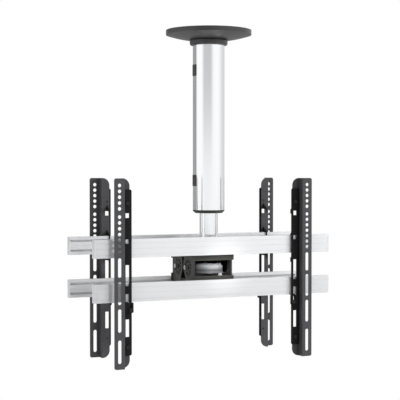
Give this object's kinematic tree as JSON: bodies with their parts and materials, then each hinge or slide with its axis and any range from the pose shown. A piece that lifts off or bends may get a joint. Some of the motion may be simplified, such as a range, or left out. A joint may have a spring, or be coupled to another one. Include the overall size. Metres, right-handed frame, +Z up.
{
  "type": "tv ceiling mount",
  "caption": "Ceiling column for flat screens hung back to back: round canopy, telescopic tube, swivel hub, tilting brackets, extruded bars and slotted screen strips.",
  "frame": {"origin": "middle of the ceiling plate's top face, where it meets the ceiling", "axes": "+Z up along the column, +X along the bars, -Y towards the front screen"},
  "size_m": [0.6328, 0.21, 0.8015],
  "materials": {
    "zinc_steel": "zinc plated",
    "dark_screw": "black oxide",
    "bright_screw": "bright zinc",
    "canopy_black": "satin black powder coat",
    "silver_tube": "bright anodised",
    "hub_aluminium": "turned",
    "anodised_bar": "satin anodised",
    "cap_grey": "matte",
    "black_plastic": "matte",
    "nylon": "natural",
    "bracket_black": "satin black powder coat",
    "yoke_black": "satin black powder coat",
    "strip_black": "satin black powder coat",
    "rail_black": "satin black powder coat"
  },
  "bodies": {
    "ceiling": {"ceiling_plate": "zinc_steel", "tube_screws": "dark_screw", "outer_tube": "silver_tube", "upper_cable_cover": "black_plastic", "lower_cable_cover": "black_plastic", "end_ring": "black_plastic", "height_lock_screw": "dark_screw"},
    "cover": {"canopy": "canopy_black", "canopy_collar": "canopy_black"},
    "column": {"inner_tube": "silver_tube", "tube_guide": "black_plastic", "tube_plug": "zinc_steel", "swivel_flange": "zinc_steel", "hub_bolt": "zinc_steel"},
    "hub": {"swivel_washer": "nylon", "swivel_hub": "hub_aluminium", "hub_screws": "dark_screw", "swivel_yoke": "yoke_black", "front_pivot_pins": "dark_screw", "rear_pivot_pins": "dark_screw", "front_tilt_screw": "bright_screw", "rear_tilt_screw": "bright_screw"},
    "front_carrier": {"front_bracket": "bracket_black", "front_bar_bolts": "dark_screw", "front_slot_nuts": "zinc_steel"},
    "front_bars": {"front_upper_bar": "anodised_bar", "front_lower_bar": "anodised_bar", "front_upper_bar_caps": "cap_grey", "front_lower_bar_caps": "cap_grey"},
    "front_left_arm": {"front_left_strip": "strip_black", "front_left_hook_rail": "rail_black", "front_left_rail_screws": "dark_screw", "front_left_latch_screw": "dark_screw"},
    "front_left_latch": {"front_left_latch": "rail_black"},
    "front_right_arm": {"front_right_strip": "strip_black", "front_right_hook_rail": "rail_black", "front_right_rail_screws": "dark_screw", "front_right_latch_screw": "dark_screw"},
    "front_right_latch": {"front_right_latch": "rail_black"},
    "rear_carrier": {"rear_bracket": "bracket_black", "rear_bar_bolts": "dark_screw", "rear_slot_nuts": "zinc_steel"},
    "rear_bars": {"rear_upper_bar": "anodised_bar", "rear_lower_bar": "anodised_bar", "rear_upper_bar_caps": "cap_grey", "rear_lower_bar_caps": "cap_grey"},
    "rear_left_arm": {"rear_left_strip": "strip_black", "rear_left_hook_rail": "rail_black", "rear_left_rail_screws": "dark_screw", "rear_left_latch_screw": "dark_screw"},
    "rear_left_latch": {"rear_left_latch": "rail_black"},
    "rear_right_arm": {"rear_right_strip": "strip_black", "rear_right_hook_rail": "rail_black", "rear_right_rail_screws": "dark_screw", "rear_right_latch_screw": "dark_screw"},
    "rear_right_latch": {"rear_right_latch": "rail_black"}
  },
  "joints": [
    {"name": "cover_slide", "type": "slide", "parent": "ceiling", "child": "cover", "axis": [0, 0, -1], "range_m": [0, 0.042]},
    {"name": "height_slide", "type": "slide", "parent": "ceiling", "child": "column", "axis": [0, 0, 1], "range_m": [-0.19, 0.072]},
    {"name": "swivel", "type": "hinge", "parent": "column", "child": "hub", "pos_m": [0, 0, -0.583], "axis": [0, 0, 1], "continuous": true},
    {"name": "front_tilt", "type": "hinge", "parent": "hub", "child": "front_carrier", "pos_m": [-0.018, -0.03, -0.5785], "axis": [1, 0, 0], "range_deg": [-5, 15]},
    {"name": "front_bar_shift", "type": "slide", "parent": "front_carrier", "child": "front_bars", "axis": [1, 0, 0], "range_m": [-0.04, 0.04]},
    {"name": "front_left_arm_slide", "type": "slide", "parent": "front_bars", "child": "front_left_arm", "axis": [1, 0, 0], "range_m": [-0.04, 0.1]},
    {"name": "front_left_latch_slide", "type": "slide", "parent": "front_left_arm", "child": "front_left_latch", "axis": [0, 0, 1], "range_m": [-0.011, 0]},
    {"name": "front_right_arm_slide", "type": "slide", "parent": "front_bars", "child": "front_right_arm", "axis": [1, 0, 0], "range_m": [-0.1, 0.04]},
    {"name": "front_right_latch_slide", "type": "slide", "parent": "front_right_arm", "child": "front_right_latch", "axis": [0, 0, 1], "range_m": [-0.011, 0]},
    {"name": "rear_tilt", "type": "hinge", "parent": "hub", "child": "rear_carrier", "pos_m": [-0.018, 0.03, -0.5785], "axis": [-1, 0, 0], "range_deg": [-5, 15]},
    {"name": "rear_bar_shift", "type": "slide", "parent": "rear_carrier", "child": "rear_bars", "axis": [1, 0, 0], "range_m": [-0.04, 0.04]},
    {"name": "rear_left_arm_slide", "type": "slide", "parent": "rear_bars", "child": "rear_left_arm", "axis": [1, 0, 0], "range_m": [-0.04, 0.1]},
    {"name": "rear_left_latch_slide", "type": "slide", "parent": "rear_left_arm", "child": "rear_left_latch", "axis": [0, 0, 1], "range_m": [-0.011, 0]},
    {"name": "rear_right_arm_slide", "type": "slide", "parent": "rear_bars", "child": "rear_right_arm", "axis": [1, 0, 0], "range_m": [-0.1, 0.04]},
    {"name": "rear_right_latch_slide", "type": "slide", "parent": "rear_right_arm", "child": "rear_right_latch", "axis": [0, 0, 1], "range_m": [-0.011, 0]}
  ]
}
